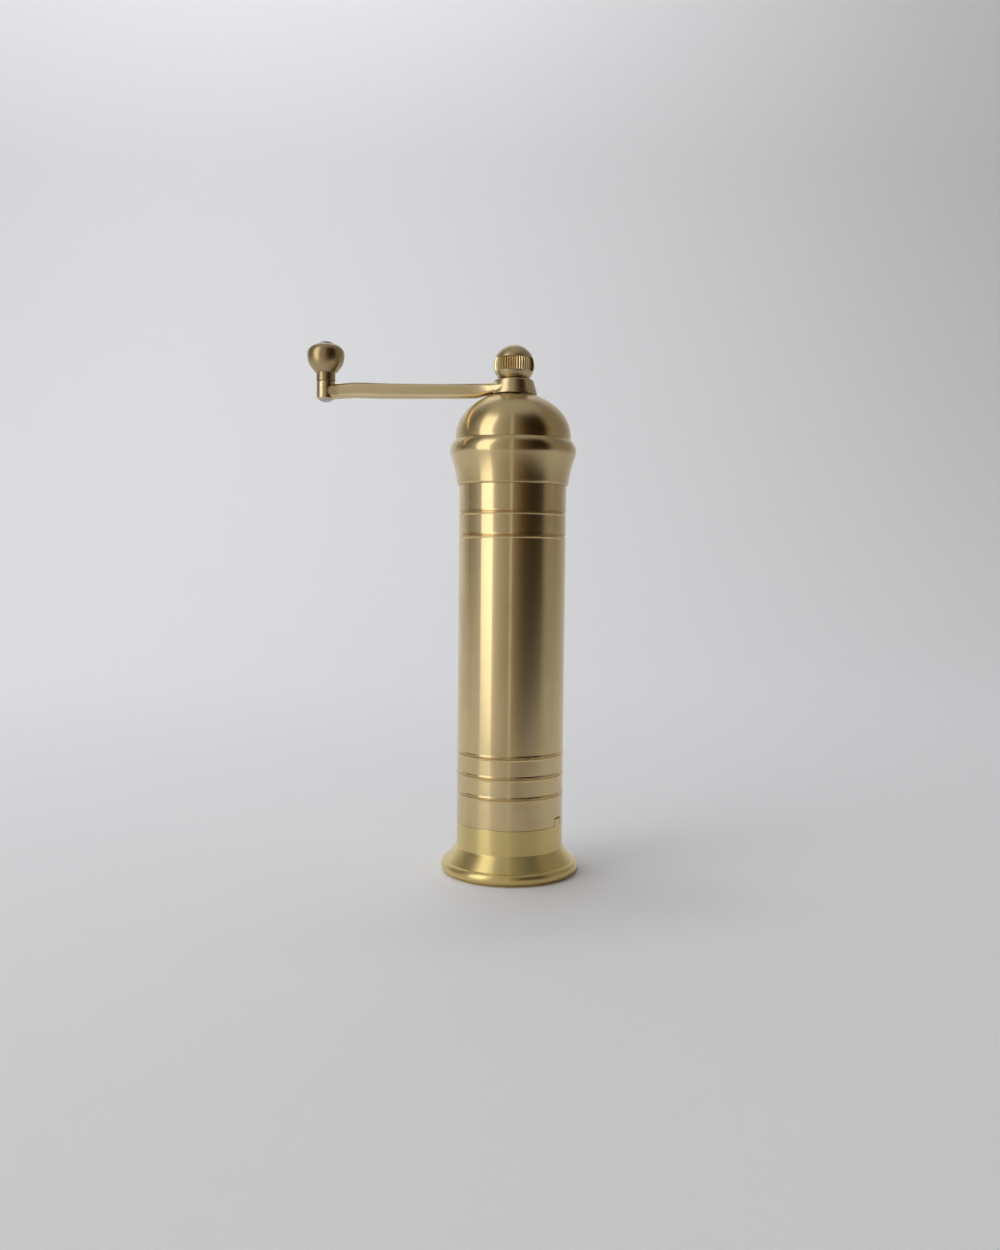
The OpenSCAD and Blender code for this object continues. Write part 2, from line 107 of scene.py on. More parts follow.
class Shader:
    """A material or a world, with its node tree and one output shader that the other nodes feed."""

    def __init__(self, owner, output="Principled BSDF", place="Object"):
        self.material = owner
        owner.use_nodes = True
        self.tree = owner.node_tree
        self.surface = self.tree.nodes[output]
        self.place = self.node("ShaderNodeTexCoord").outputs[place]

    def node(self, kind, settings=None, sockets=None):
        """Adds a node of this kind, sets its settings first and then its sockets' values or links."""
        node = self.tree.nodes.new(kind)
        for key, value in (settings or {}).items():
            if key == "stops":
                ramp = node.color_ramp.elements
                while len(ramp) < len(value):
                    ramp.new(0.5)
                for element, (position, colour) in zip(ramp, value):
                    element.position, element.color = position, (*colour, 1)
            else:
                setattr(node, key, value)
        for key, value in (sockets or {}).items():
            self.feed(node.inputs[key], value)
        return node

    def feed(self, socket, value):
        if isinstance(value, Number):
            value = value.socket
        if isinstance(value, bpy.types.NodeSocket):
            self.tree.links.new(value, socket)
        else:
            socket.default_value = value

    def parts(self, centre=AXIS):
        """x and y about an upright axis, and z, in millimetres."""
        split = self.node("ShaderNodeSeparateXYZ", {}, {0: self.place})
        x, y, z = (Number(self, split.outputs[i]) * (1 / MM) for i in range(3))
        return x - centre[0], y - centre[1], z

    def vector(self, x, y, z):
        return self.node("ShaderNodeCombineXYZ", {}, {0: x, 1: y, 2: z}).outputs[0]

    def noise(self, place, scale, detail, roughness):
        node = self.node("ShaderNodeTexNoise", {"noise_dimensions": "3D"},
                         {"Vector": place, "Scale": scale, "Detail": detail, "Roughness": roughness})
        return Number(self, node.outputs[0])

    def mix(self, share, first, second):
        """first where share is 0 and second where it is 1."""
        node = self.node("ShaderNodeMix", {"data_type": "RGBA", "blend_type": "MIX"},
                         {0: share, 6: first, 7: second})
        return node.outputs[2]

    def bump(self, height, distance, strength):
        node = self.node("ShaderNodeBump", {}, {"Height": height, "Distance": distance, "Strength": strength})
        return node.outputs[0]

    def set(self, **values):
        for key, value in values.items():
            self.feed(self.surface.inputs[key.replace("_", " ")], value)
        return self.material


def rgb(red, green, blue):
    return (red, green, blue, 1.0)


# ---------------------------------------------------------------- finishes

def turned_brass(name, colour, dark, roughness=0.2, lines=1.0, stains=1.0, brushed=0.94, centre=AXIS):
    """Brass off the lathe: fine rings, soft stains that dull it, and a few dark specks."""
    s = Shader(bpy.data.materials.new(name))
    x, y, z = s.parts(centre)
    radius = (x * x + y * y).root()
    # Tool lines: fast along the profile, nearly constant round the axis
    fine = s.noise(s.vector(radius * 5.0, x * 0.05, z * 5.0), 1.0, 2.0, 0.6)
    coarse = s.noise(s.vector(radius * 0.9, x * 0.02, z * 0.9), 1.0, 2.0, 0.5)
    cloud = s.noise(s.vector(x, y, z * 0.6), 0.07, 3.0, 0.55)
    smear = s.noise(s.vector(x, y, z * 0.3), 0.16, 2.0, 0.5)
    spots = s.noise(s.vector(x, y, z * 0.7), 1.3, 1.0, 0.5)
    stain = (cloud.ramp(0.45, 0.75) * 0.6 + smear.ramp(0.5, 0.8) * 0.4) * stains
    speck = spots.ramp(0.845, 0.86) * stains
    shade = s.mix(stain * 0.55 + (fine - 0.5) * 0.12 + (coarse - 0.5) * 0.18, rgb(*colour), rgb(*dark))
    shade = s.mix(speck * 0.75, shade, rgb(0.05, 0.035, 0.02))
    rough = roughness + stain * 0.03 + (coarse - 0.5) * 0.05 + (fine - 0.5) * 0.04 * lines
    height = (fine * 0.7 + coarse * 0.3) * lines
    return s.set(Base_Color=shade, Metallic=1.0, Roughness=rough, Normal=s.bump(height, 0.00001, 0.25),
                 Anisotropic=brushed, Anisotropic_Rotation=0.25)


def satin_brass(name, colour, dark, arm_highlight, roughness):
    """Cast and tumbled brass: a soft satin with faint scratches, and a painted highlight that brightens the
    arm.

    The arm's upper and lower edges are darkened with painted shade.
    """
    s = Shader(bpy.data.materials.new(name))
    x, y, z = s.parts()
    pores = s.noise(s.vector(x, y, z), 4.0, 3.0, 0.6)
    cloud = s.noise(s.vector(x, y, z), 0.25, 3.0, 0.55)
    drag = s.noise(s.vector(x * 0.35, y * 3.0, z * 3.0), 1.0, 3.0, 0.6)
    shade = s.mix(cloud.ramp(0.4, 0.75) * 0.6 + (pores - 0.5) * 0.2, rgb(*colour), rgb(*dark))
    # Painted highlight: along the arm the colour moves towards a lighter brass
    arm = (0 - x).ramp(HUB_R, HUB_R + 5.0) * (x - KNOB_X).ramp(BOSS_R, BOSS_R + 2.7)
    # Painted shade: the arm's upper and lower edges are darkened
    edge = z.ramp(ARM_TOP - 0.7, ARM_TOP) + (ARM_LOW - z).ramp(-0.6, 0.0) * 0.5
    shade = s.mix(arm * 0.85, shade, s.mix(edge * 0.8, rgb(*arm_highlight), rgb(*(c * 0.35 for c in dark))))
    rough = roughness + arm * 0.07 + (cloud - 0.5) * 0.15 + (drag - 0.5) * 0.12
    return s.set(Base_Color=shade, Metallic=1.0, Roughness=rough,
                 Normal=s.bump(pores * 0.4 + drag * 0.6, 0.00001, 0.25))


def steel(name, colour, roughness, lines=1.0, centre=AXIS):
    """Turned steel with fine rings and slight clouding."""
    s = Shader(bpy.data.materials.new(name))
    x, y, z = s.parts(centre)
    radius = (x * x + y * y).root()
    fine = s.noise(s.vector(radius * 6.0, x * 0.05, z * 6.0), 1.0, 2.0, 0.6)
    cloud = s.noise(s.vector(x, y, z), 0.35, 3.0, 0.5)
    shade = s.mix(cloud.ramp(0.35, 0.8) * 0.5, rgb(*colour), rgb(*(c * 0.7 for c in colour)))
    rough = roughness + (cloud - 0.5) * 0.15 + (fine - 0.5) * 0.08
    return s.set(Base_Color=shade, Metallic=1.0, Roughness=rough,
                 Normal=s.bump(fine * lines, 0.00002, 0.4))


BRASS = (0.72, 0.57, 0.315)
BRASS_DARK = (0.50, 0.365, 0.185)
FINISH = {
    "barrel": turned_brass("barrel_brass", BRASS, BRASS_DARK, 0.205),
    "foot": turned_brass("foot_brass", (0.78, 0.62, 0.27), (0.66, 0.50, 0.20), 0.29, 1.0, 0.25, 0.92),
    "lid": turned_brass("lid_brass", (0.66, 0.515, 0.275), (0.50, 0.375, 0.19), 0.21, 0.3, 0.6, 0.86),
    "crank": satin_brass("crank_brass", (0.68, 0.55, 0.33), (0.52, 0.40, 0.21), (0.95, 0.78, 0.47), 0.27),
    "knob": turned_brass("knob_brass", (0.46, 0.35, 0.19), (0.32, 0.235, 0.12), 0.32, 0.5, 0.5, 0.5,
                         (KNOB_X, 0.0)),
    "ball": turned_brass("ball_nut_brass", (0.54, 0.43, 0.24), (0.40, 0.30, 0.15), 0.29, 0.4, 0.5, 0.3),
    # Painted highlight: the knurled band is a brighter copy of the ball's brass
    "knurl": turned_brass("knurl_brass", (0.80, 0.65, 0.38), (0.62, 0.48, 0.26), 0.2, 0.4, 0.3, 0.3),
    "inner": turned_brass("inner_brass", (0.74, 0.58, 0.31), BRASS_DARK, 0.26, 1.0, 0.6, 0.6),
    "bronze": turned_brass("bush_bronze", (0.62, 0.40, 0.22), (0.42, 0.26, 0.13), 0.3, 1.0, 0.6, 0.6),
    "steel": steel("turned_steel", (0.60, 0.60, 0.61), 0.26),
    "bright": steel("bright_steel", (0.80, 0.80, 0.81), 0.14, 0.5),
    "rivet": steel("rivet_steel", (0.50, 0.50, 0.51), 0.22, 0.6, (KNOB_X, 0.0)),
    "burr": steel("burr_steel", (0.27, 0.27, 0.28), 0.36),
}


# ---------------------------------------------------------------- outlines, as (radius, height)

def arc(centre, radius, start, end, count=12):
    """Points along an arc, with its angles in degrees."""
    turns = [radians(start + (end - start) * i / count) for i in range(count + 1)]
    return [(centre[0] + radius * cos(t), centre[1] + radius * sin(t)) for t in turns]


def ellipse(centre_z, wide, high, start, end, count=40):
    """Points along an ellipse about the axis, with its angles in degrees."""
    turns = [radians(start + (end - start) * i / count) for i in range(count + 1)]
    return [(wide * cos(t), centre_z + high * sin(t)) for t in turns]


def curve(p, h, k, q, count=20):
    """Points along a cubic curve from p to q with handles h and k."""
    points = []
    for i in range(count + 1):
        t = i / count
        s = 1 - t
        weights = (s ** 3, 3 * s * s * t, 3 * s * t * t, t ** 3)
        points.append(tuple(sum(w * c[a] for w, c in zip(weights, (p, h, k, q))) for a in (0, 1)))
    return points


def eased(points, closed=True, steps=3):
    """Rounds every corner that carries a radius as its third number."""
    made = []
    for i, point in enumerate(points):
        here = Vector(point[:2])
        ends = not closed and i in (0, len(points) - 1)
        if len(point) < 3 or point[2] == 0 or ends:
            made.append(tuple(here))
            continue
        before = Vector(points[i - 1][:2]) - here
        after = Vector(points[(i + 1) % len(points)][:2]) - here
        half = before.angle(after) / 2
        room = 0.48 * min(before.length, after.length)
        back = min(point[2] / max(abs(tan(half)), 0.05), room)
        first, last = here + before.normalized() * back, here + after.normalized() * back
        for k in range(steps + 1):
            t = k / steps
            made.append(tuple(first * (1 - t) ** 2 + here * 2 * t * (1 - t) + last * t * t))
    return made


# ---------------------------------------------------------------- making pieces

def piece(name, mesh_maker, body, slot, finish, *nodes, sharp=32):
    """Turns a bmesh in millimetres into a finished object that rides on its body."""
    bmesh.ops.remove_doubles(mesh_maker, verts=mesh_maker.verts, dist=1e-4)
    bmesh.ops.recalc_face_normals(mesh_maker, faces=mesh_maker.faces)
    bmesh.ops.scale(mesh_maker, vec=(MM, MM, MM), verts=mesh_maker.verts)
    mesh = bpy.data.meshes.new(name)
    mesh_maker.to_mesh(mesh)
    mesh_maker.free()
    mesh.polygons.foreach_set("use_smooth", [True] * len(mesh.polygons))
    mesh.set_sharp_from_angle(angle=radians(sharp))
    mesh.materials.append(FINISH[finish])
    made = bpy.data.objects.new(name, mesh)
    bpy.context.scene.collection.objects.link(made)
    if body:
        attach(made, body)
    if nodes:
        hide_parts(*nodes)
    return made


def held(outline, closed=True):
    """Adds a point close to each end of a long stretch, so that its corners don't shade the whole of it."""
    made = []
    for i, point in enumerate(outline):
        made.append(point)
        if closed or i < len(outline) - 1:
            here, there = Vector(point), Vector(outline[(i + 1) % len(outline)])
            reach = (there - here).length
            if reach > 1.0:
                made += [tuple(here.lerp(there, share)) for share in (0.2 / reach, 1 - 0.2 / reach)]
    return made


def turned(outline, steps=160, centre=AXIS, closed=True):
    """A bmesh made by spinning an outline about an upright axis."""
    bm = bmesh.new()
    verts = [bm.verts.new((centre[0] + r, centre[1], z)) for r, z in held(outline, closed)]
    ends = zip(verts, verts[1:] + verts[:1]) if closed else zip(verts, verts[1:])
    edges = [bm.edges.new(pair) for pair in ends]
    bmesh.ops.spin(bm, geom=verts + edges, cent=(*centre, 0), axis=(0, 0, 1), angle=2 * pi,
                   steps=steps, use_merge=True)
    bmesh.ops.remove_doubles(bm, verts=bm.verts, dist=1e-4)
    return bm


def rod(radius, low, top, centre=AXIS, steps=24):
    """A bmesh of a solid upright rod."""
    return turned([(0, low), (radius, low), (radius, top), (0, top)], steps, centre, closed=False)


def block(low, high):
    """A bmesh box between two corners."""
    bm = bmesh.new()
    size, middle = Vector(high) - Vector(low), (Vector(high) + Vector(low)) / 2
    bmesh.ops.create_cube(bm, size=1, matrix=Matrix.Translation(middle) @ Matrix.Diagonal((*size, 1)))
    return bm


def as_object(bm):
    mesh = bpy.data.meshes.new("tool")
    bm.to_mesh(mesh)
    bm.free()
    made = bpy.data.objects.new("tool", mesh)
    bpy.context.scene.collection.objects.link(made)
    return made


def carved(bm, tools, operation="DIFFERENCE"):
    """The first bmesh with the tools cut from it, or joined to it."""
    base = as_object(bm)
    for tool in tools:
        cutter = as_object(tool)
        step = base.modifiers.new("carve", "BOOLEAN")
        step.operation, step.solver, step.object = operation, "EXACT", cutter
        made = bpy.data.meshes.new_from_object(base.evaluated_get(bpy.context.evaluated_depsgraph_get()))
        base.modifiers.clear()
        base.data = made
        bpy.data.objects.remove(cutter)
    result = bmesh.new()
    result.from_mesh(base.data)
    bpy.data.objects.remove(base)
    return result


def from_node(node, width=0.12, sharp=28):
    """A merged copy of a CAD node's mesh with its sharp edges eased, in millimetres."""
    bm = bmesh.new()
    bm.from_mesh(frame["nodes"][node].data)
    bmesh.ops.scale(bm, vec=(1 / MM,) * 3, verts=bm.verts)
    bmesh.ops.remove_doubles(bm, verts=bm.verts, dist=1e-3)
    bmesh.ops.dissolve_limit(bm, angle_limit=radians(0.5), verts=bm.verts, edges=bm.edges)
    if width:
        corners = [e for e in bm.edges if len(e.link_faces) == 2 and e.calc_face_angle(0) > radians(sharp)]
        bmesh.ops.bevel(bm, geom=corners, offset=width, offset_type="OFFSET", segments=2, profile=0.5,
                        affect="EDGES", clamp_overlap=True, material=-1)
    return bm


# ---------------------------------------------------------------- barrel and foot

KEY_ANGLE = -27.5
KEY_W, KEY_H, KEY_PLAY = 4.7, 3.0, 0.5
GROOVES = (30.4, 37.9, 45.4, 126.0, 134.5)


def around(bm, angle):
    bmesh.ops.rotate(bm, cent=(0, 0, 0), matrix=Matrix.Rotation(radians(angle), 3, "Z"), verts=bm.verts)
    return bm


def make_barrel():
    """The tube: each groove is a small round hollow between two lips that the tool threw up."""
    wall = [(BARREL_R, SEAM, 0.2)]
    lip = [(0.0, 0.92), (0.07, 0.74), (0.15, 0.56), (0.14, 0.44), (-0.2, 0.26), (-0.38, 0.1)]
    for z in GROOVES:
        wall += [(BARREL_R + r, z - h) for r, h in lip] + [(BARREL_R + r, z + h) for r, h in reversed(lip)]
    wall += [(BARREL_R, BARREL_TOP, 0.15), (BARREL_IN, BARREL_TOP, 0.12), (BARREL_IN, SEAM, 0.12)]
    tube = turned(eased(wall), 192)
    notch = block((15, -KEY_W / 2, SEAM - 1), (25, KEY_W / 2, SEAM + KEY_H))
    return carved(tube, [around(notch, KEY_ANGLE)])


def make_foot():
    """The base: a rolled rim, a flare, the spigot, and the ledges inside for the burr and the bridge."""
    spigot = BARREL_IN - 0.02
    outline = [(24.4, 0.0, 0.15)] + arc((23.7, 2.4), 2.2, -62, 72, 20)
    outline += [(24.12, 4.45, 0.05), (20.0, 9.6, 0.3), (BARREL_R, SEAM, 0.2), (spigot, SEAM, 0.05),
                (spigot, 28.0, 0.4), (17.4, 28.0, 0.3), (17.25, 17.0, 0.1), (14.2, 17.0, 0.2),
                (14.2, 10.3, 0.2), (18.0, 10.3, 0.1), (18.4, 9.0, 0.6), (21.8, 4.2, 0.8), (22.6, 1.0, 0.3),
                (23.4, 0.0, 0.3)]
    body = turned(eased(outline), 192)
    key_top, key_half = SEAM + KEY_H - KEY_PLAY, (KEY_W - KEY_PLAY) / 2
    collar = turned([(BARREL_R, SEAM - 0.3), (BARREL_R, key_top),
                     (spigot - 0.3, key_top), (spigot - 0.3, SEAM - 0.3)], 192)
    sector = around(block((15, -key_half, SEAM - 1), (25, key_half, SEAM + 8)), KEY_ANGLE)
    key = carved(collar, [sector], "INTERSECT")
    ring, reach = 15.5, 16.0
    holes = [rod(0.9, 13.0, 18.0, (ring * cos(a), ring * sin(a))) for a in map(radians, (90, 210, 330))]
    holes += [rod(1.0, 9.3, 14.3, (x, 0.0)) for x in (reach, -reach)]
    return carved(carved(body, [key], "UNION"), holes)


# ---------------------------------------------------------------- lid

def make_lid():
    """The spun dome over its bead, waisted below, with an even wall and a rolled lower lip."""
    low = LOW["dome_cap"].z
    top = HIGH["dome_cap"].z
    rim, wall = 20.55, 1.2
    bead, bead_r = (18.15, 157.35), 5.33
    foot = arc(bead, bead_r, -14, -14, 1)[0]
    start = Vector((rim + 0.15, low + 0.5))
    chord = Vector(foot) - start
    out = Vector((chord.y, -chord.x)).normalized()
    middle = (start + Vector(foot)) / 2 + out * sqrt(47.7 ** 2 - chord.length ** 2 / 4)
    turn = [degrees(atan2(p.y - middle.y, p.x - middle.x)) for p in (start, Vector(foot))]
    turn = [t + 360 if t < 0 else t for t in turn]
    skin = [(rim, low, 0.15)] + arc(tuple(middle), 47.7, turn[0], turn[1], 16)
    skin += arc(bead, bead_r, -12, 51.2, 28)
    dome = ellipse(162.97, 21.47, 16.3, -4.0, 63.4, 48)
    skin += dome + [(8.5, top, 0.3), (5.5, top, 0.1)]
    lining = [(5.5, top - wall, 0.1)] + ellipse(162.97, 21.47 - wall, 16.3 - wall, 62.0, -4, 32)
    lining += arc(bead, bead_r - wall, 42, -12, 16) + [(rim - wall, low + 1.2), (rim - wall, low, 0.1)]
    return turned(eased(skin + lining), 192)


# ---------------------------------------------------------------- crank

# Half the square bore of the hub, the radius of the rivet's shank, and the underside of the boss
SQUARE, RIVET_R = 2.3, 1.5
BOSS_LOW = 176.2


def arm_stations():
    """(x, centre height, half height, half width) along the arm, from inside the hub to inside the boss."""
    over = curve((-2, 182.6), (-8, 182.6), (-9.5, 182.5), (-15, 182.4), 10) \
        + curve((-17, 182.35), (-36, 181.95), (-46, 182.2), (-56, 182.45), 18) \
        + [(-60, 182.4), (-64, 182.0), (-66.5, 181.7), (-69.4, 181.6)]
    under = curve((-2, 178.4), (-11, 178.4), (-11.8, 177.3), (-15, 176.98), 10) \
        + curve((-17, 176.92), (-36, 176.8), (-46, 176.4), (-58, 176.85), 18) \
        + [(-62, 176.7), (-66, 176.35), (-69.4, 176.3)]
    side = curve((-2, 7.4), (-8.6, 6.0), (-8.8, 3.1), (-15, 3.0), 10) \
        + curve((-17, 3.0), (-30, 2.95), (-46, 3.0), (-58, 3.0), 18) \
        + [(-62, 3.0), (-66, 3.1), (-69.4, 3.3)]
    count = 64
    for i in range(count + 1):
        x = -4.0 + (KNOB_X + 0.6 + 4.0) * i / count
        tall, low, wide = (at(line, x) for line in (over, under, side))
        yield x, (tall + low) / 2, (tall - low) / 2, wide


def at(line, x):
    """The height of a line that runs towards -X, at x."""
    for (xa, za), (xb, zb) in zip(line, line[1:]):
        if xb <= x <= xa and xa > xb:
            return za + (zb - za) * (xa - x) / (xa - xb)
    return line[0][1] if x > line[0][0] else line[-1][1]


def make_arm():
    """A slim bar of soft square section, drawn out station by station."""
    bm = bmesh.new()
    corners, power = 48, 2 / 2.9
    ring = bmesh.ops.create_circle(bm, cap_ends=True, radius=1, segments=corners)["verts"]
    unit = []
    for v in ring:
        c, s = v.co.x, v.co.y
        unit.append((abs(c) ** power * (1 if c > 0 else -1), abs(s) ** power * (1 if s > 0 else -1)))
    stations = list(arm_stations())

    def put(verts, station):
        x, z, tall, wide = station
        for v, (u, w) in zip(verts, unit):
            v.co = (x, u * wide, z + w * tall)

    put(ring, stations[0])
    edges = [bm.edges.get((ring[i], ring[(i + 1) % corners])) for i in range(corners)]
    verts = ring
    for station in stations[1:]:
        grown = bmesh.ops.extrude_edge_only(bm, edges=edges)["geom"]
        edges = [g for g in grown if isinstance(g, bmesh.types.BMEdge) and
                 all(v not in verts for v in g.verts)]
        following = {}
        for face in [g for g in grown if isinstance(g, bmesh.types.BMFace)]:
            for edge in face.edges:
                old = [v for v in edge.verts if v in verts]
                if len(old) == 1:
                    following[old[0]] = edge.other_vert(old[0])
        verts = [following[v] for v in verts]
        put(verts, station)
    bmesh.ops.contextual_create(bm, geom=edges)
    bmesh.ops.recalc_face_normals(bm, faces=bm.faces)
    return bm


def make_crank():
    """Hub, arm and boss fused as one casting, with the fillets that filing leaves."""
    cone = [(0, HUB_LOW), (8.45, HUB_LOW, 0.2), (8.85, HUB_LOW + 0.35, 0.2), (8.2, 180.6, 1.5),
            (7.55, 183.0, 0.3), (7.3, 183.7, 0.3), (6.4, HUB_TOP, 0.4), (0, HUB_TOP)]
    hub = turned(eased(cone, closed=False), 128, closed=False)
    low, top = BOSS_LOW, LOW["knob"].z - 0.03
    boss = turned(eased([(0, low), (3.45, low, 0.45), (3.45, top, 0.1), (0, top)], closed=False), 96,
                  (KNOB_X, 0.0), closed=False)
    whole = as_object(carved(hub, [make_arm(), boss], "UNION"))
    fuse = whole.modifiers.new("fuse", "REMESH")
    fuse.mode, fuse.voxel_size, fuse.use_smooth_shade = "VOXEL", 0.17, True
    ease = whole.modifiers.new("ease", "SMOOTH")
    ease.factor, ease.iterations = 0.5, 12
    mesh = bpy.data.meshes.new_from_object(whole.evaluated_get(bpy.context.evaluated_depsgraph_get()))
    bpy.data.objects.remove(whole)
    bm = bmesh.new()
    bm.from_mesh(mesh)
    square = block((-SQUARE, -SQUARE, HUB_LOW - 1), (SQUARE, SQUARE, HUB_TOP + 1))
    bore = rod(RIVET_R, low - 1, top + 1, (KNOB_X, 0.0), 48)
    return carved(bm, [square, bore])


def make_knob():
    """A turned pear on a short neck."""
    low, top = LOW["knob"].z, HIGH["knob"].z
    wide = (HIGH["knob"].x - LOW["knob"].x) / 2
    widest, neck = 192.0, 3.48
    crown = []
    for i in range(25):
        t = (top - widest) * sin(pi / 2 * i / 24)
        crown.append((wide * (1 - (t / (top - widest + 0.25)) ** 2.6) ** (1 / 2.6), widest + t))
    outline = [(1.55, low, 0.05), (neck, low, 0.12), (neck, 185.9, 0.1), (3.9, 186.0, 0.06)]
    outline += curve((3.95, 186.03), (5.0, 187.3), (wide, 189.0), (wide, widest), 28)[1:] + crown[1:]
    return turned(eased(outline + [(1.55, top, 0.05)]), 128, (KNOB_X, 0.0))


def make_rivet():
    """The bright rivet: a low domed head over the knob and another under the boss."""
    low, top = LOW["knob_rivet"].z, HIGH["knob_rivet"].z
    head, dome = 2.75, 4.1
    under, over = BOSS_LOW - 0.02, HIGH["knob"].z + 0.03
    outline = arc((0, low + dome), dome, -90, -45, 10)
    outline += [(head, under - 0.15, 0.1), (head, under, 0.06), (RIVET_R, under), (RIVET_R, over),
                (head, over, 0.06), (head, over + 0.25, 0.15)]
    outline += [(2.1, top - 0.1, 0.4), (1.2, top, 0.3), (0, top)]
    return turned(eased(outline, closed=False), 96, (KNOB_X, 0.0), closed=False)


# ---------------------------------------------------------------- ball nut

# The lower and upper edge of the knurling
KNURL_BAND = (186.9, 191.8)


def make_ball_nut():
    """A ball with a flat foot and a band of straight knurling that the ball's own surface trims."""
    teeth, per_tooth = 44, 6
    radius, middle = 7.5, 189.3
    flat, (band_low, band_high) = LOW["ball_nut"].z, KNURL_BAND
    foot_angle = degrees(atan2(flat - middle, sqrt(radius ** 2 - (flat - middle) ** 2)))
    low_angle, high_angle = (degrees(atan2(z - middle, sqrt(radius ** 2 - (z - middle) ** 2)))
                             for z in (band_low, band_high))
    outline = [(0, 190.6), (2.05, 190.2), (2.05, flat)]
    outline += arc((0, middle), radius, foot_angle + 0.4, low_angle, 10)
    outline += arc((0, middle), radius, low_angle + 0.5, high_angle - 0.5, 12)
    outline += arc((0, middle), radius, high_angle, 90, 24)
    bm = turned(outline, teeth * per_tooth, closed=False)
    for v in bm.verts:
        reach = Vector(v.co[:2]).length
        if band_low + 0.04 < v.co.z < band_high - 0.04 and reach > 5:
            phase = degrees(atan2(v.co.y, v.co.x)) / 360 * teeth % 1
            crest = abs(phase - 0.5) * 2
            cut = 1 - 0.6 * max(0, 1 - 1.2 * crest) / reach
            v.co.x *= cut
            v.co.y *= cut
    return bm


def make_washer():
    low, top = LOW["nut_washer"].z, HIGH["nut_washer"].z
    return turned(eased([(2.3, low, 0.05), (4.6, low, 0.1), (4.6, top, 0.1), (2.3, top, 0.05)]), 96)


# ---------------------------------------------------------------- grinding gear

def make_spring():
    """A round-wire coil: a closed turn at each end and six open turns between."""
    bm = bmesh.new()
    wire, coil = 0.45, 4.7
    low, top = LOW["burr_spring"].z + wire, HIGH["burr_spring"].z - wire
    place = Matrix.Translation((coil, 0, low)) @ Matrix.Rotation(pi / 2, 4, "X")
    ring = bmesh.ops.create_circle(bm, cap_ends=True, radius=wire, segments=12, matrix=place)["verts"]
    edges = [e for e in bm.edges if all(v in ring for v in e.verts)]
    closed, turns = 2 * wire + 0.05, 6
    geom = ring + edges
    for count, climb in ((1, closed), (turns, top - low - 2 * closed), (1, closed)):
        steps = 40 * count
        geom = bmesh.ops.spin(bm, geom=geom, cent=(0, 0, 0), axis=(0, 0, 1), dvec=(0, 0, climb / steps),
                              angle=2 * pi * count, steps=steps)["geom_last"]
    bmesh.ops.contextual_create(bm, geom=[g for g in geom if isinstance(g, bmesh.types.BMEdge)])
    return bm


def build():
    piece("foot", make_foot(), "base", "foot_brass", "foot", "foot_base")
    piece("barrel_tube", make_barrel(), "base", "body_brass", "barrel", "barrel")
    piece("lid_dome", make_lid(), "lid", "lid_brass", "lid", "dome_cap")
    piece("crank_casting", make_crank(), "crank", "crank_brass", "crank", "crank_arm", sharp=70)
    piece("knob_turning", make_knob(), "grip", "crank_brass", "knob", "knob")
    piece("rivet", make_rivet(), "crank", "bright_steel", "rivet", "knob_rivet")
    ball = piece("ball", make_ball_nut(), "nut", "nut_brass", "ball", "ball_nut", sharp=24)
    # The knurled band's faces take the brighter brass, a painted highlight
    ball.data.materials.append(FINISH["knurl"])
    for face in ball.data.polygons:
        outside = face.center.xy.length > 5.5 * MM
        if outside and KNURL_BAND[0] + 0.05 < face.center.z / MM < KNURL_BAND[1] - 0.05:
            face.material_index = 1
    piece("washer", make_washer(), "nut_carrier", "inner_brass", "inner", "nut_washer")
    spring = piece("spring", make_spring(), None, "bright_steel", "bright", "burr_spring")
    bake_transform(spring)
    slots = {s["node"]: s["material_slot"] for s in frame["record"]["subparts"]}
    bodies = {n: b for b, ns in frame["record"]["behaviour"]["bodies"].items() for n in ns}
    finishes = {"inner_brass": "inner", "bush_bronze": "bronze", "plain_steel": "steel",
                "bright_steel": "bright", "burr_steel": "burr"}
    for node in ("outer_burr", "inner_burr", "lower_bridge", "upper_bridge", "upper_bush", "lock_nut",
                 "adjust_screw", "spindle", "spring_seat", "lid_ring", "dome_bush", "burr_screws",
                 "bridge_screws", "burr_pin", "seat_pin", "thrust_ball"):
        width = 0 if node in ("thrust_ball",) else 0.08
        piece(node + "_finished", from_node(node, width), bodies[node], slots[node],
              finishes[slots[node]], node)


build()


# ---------------------------------------------------------------- studio

def make_sweep():
    """The pale floor, which curves up behind the mill into a wall."""
    bm = bmesh.new()
    bend, wall_y, height, half = 0.75, 1.35, 3.2, 4.0
    line = [(-0.25, 0.0), (wall_y - bend, 0.0)]
    line += [(wall_y - bend + bend * sin(t), bend - bend * cos(t)) for t in
             (pi / 2 * i / 24 for i in range(1, 25))] + [(wall_y, height)]
    verts = [bm.verts.new((-half, y, z)) for y, z in line]
    edges = [bm.edges.new(pair) for pair in zip(verts, verts[1:])]
    grown = bmesh.ops.extrude_edge_only(bm, edges=edges)["geom"]
    far_side = [g for g in grown if isinstance(g, bmesh.types.BMVert)]
    bmesh.ops.translate(bm, vec=(2 * half, 0, 0), verts=far_side)
    bmesh.ops.recalc_face_normals(bm, faces=bm.faces)
    mesh = bpy.data.meshes.new("sweep")
    bm.to_mesh(mesh)
    bm.free()
    mesh.polygons.foreach_set("use_smooth", [True] * len(mesh.polygons))
    sweep = bpy.data.objects.new("sweep", mesh)
    bpy.context.scene.collection.objects.link(sweep)
    paper = Shader(bpy.data.materials.new("studio_paper"))
    tooth = paper.noise(paper.place, 900.0, 3.0, 0.6)
    mesh.materials.append(paper.set(Base_Color=rgb(0.79, 0.795, 0.825), Roughness=0.85,
                                    Normal=paper.bump(tooth, 0.0004, 0.15)))


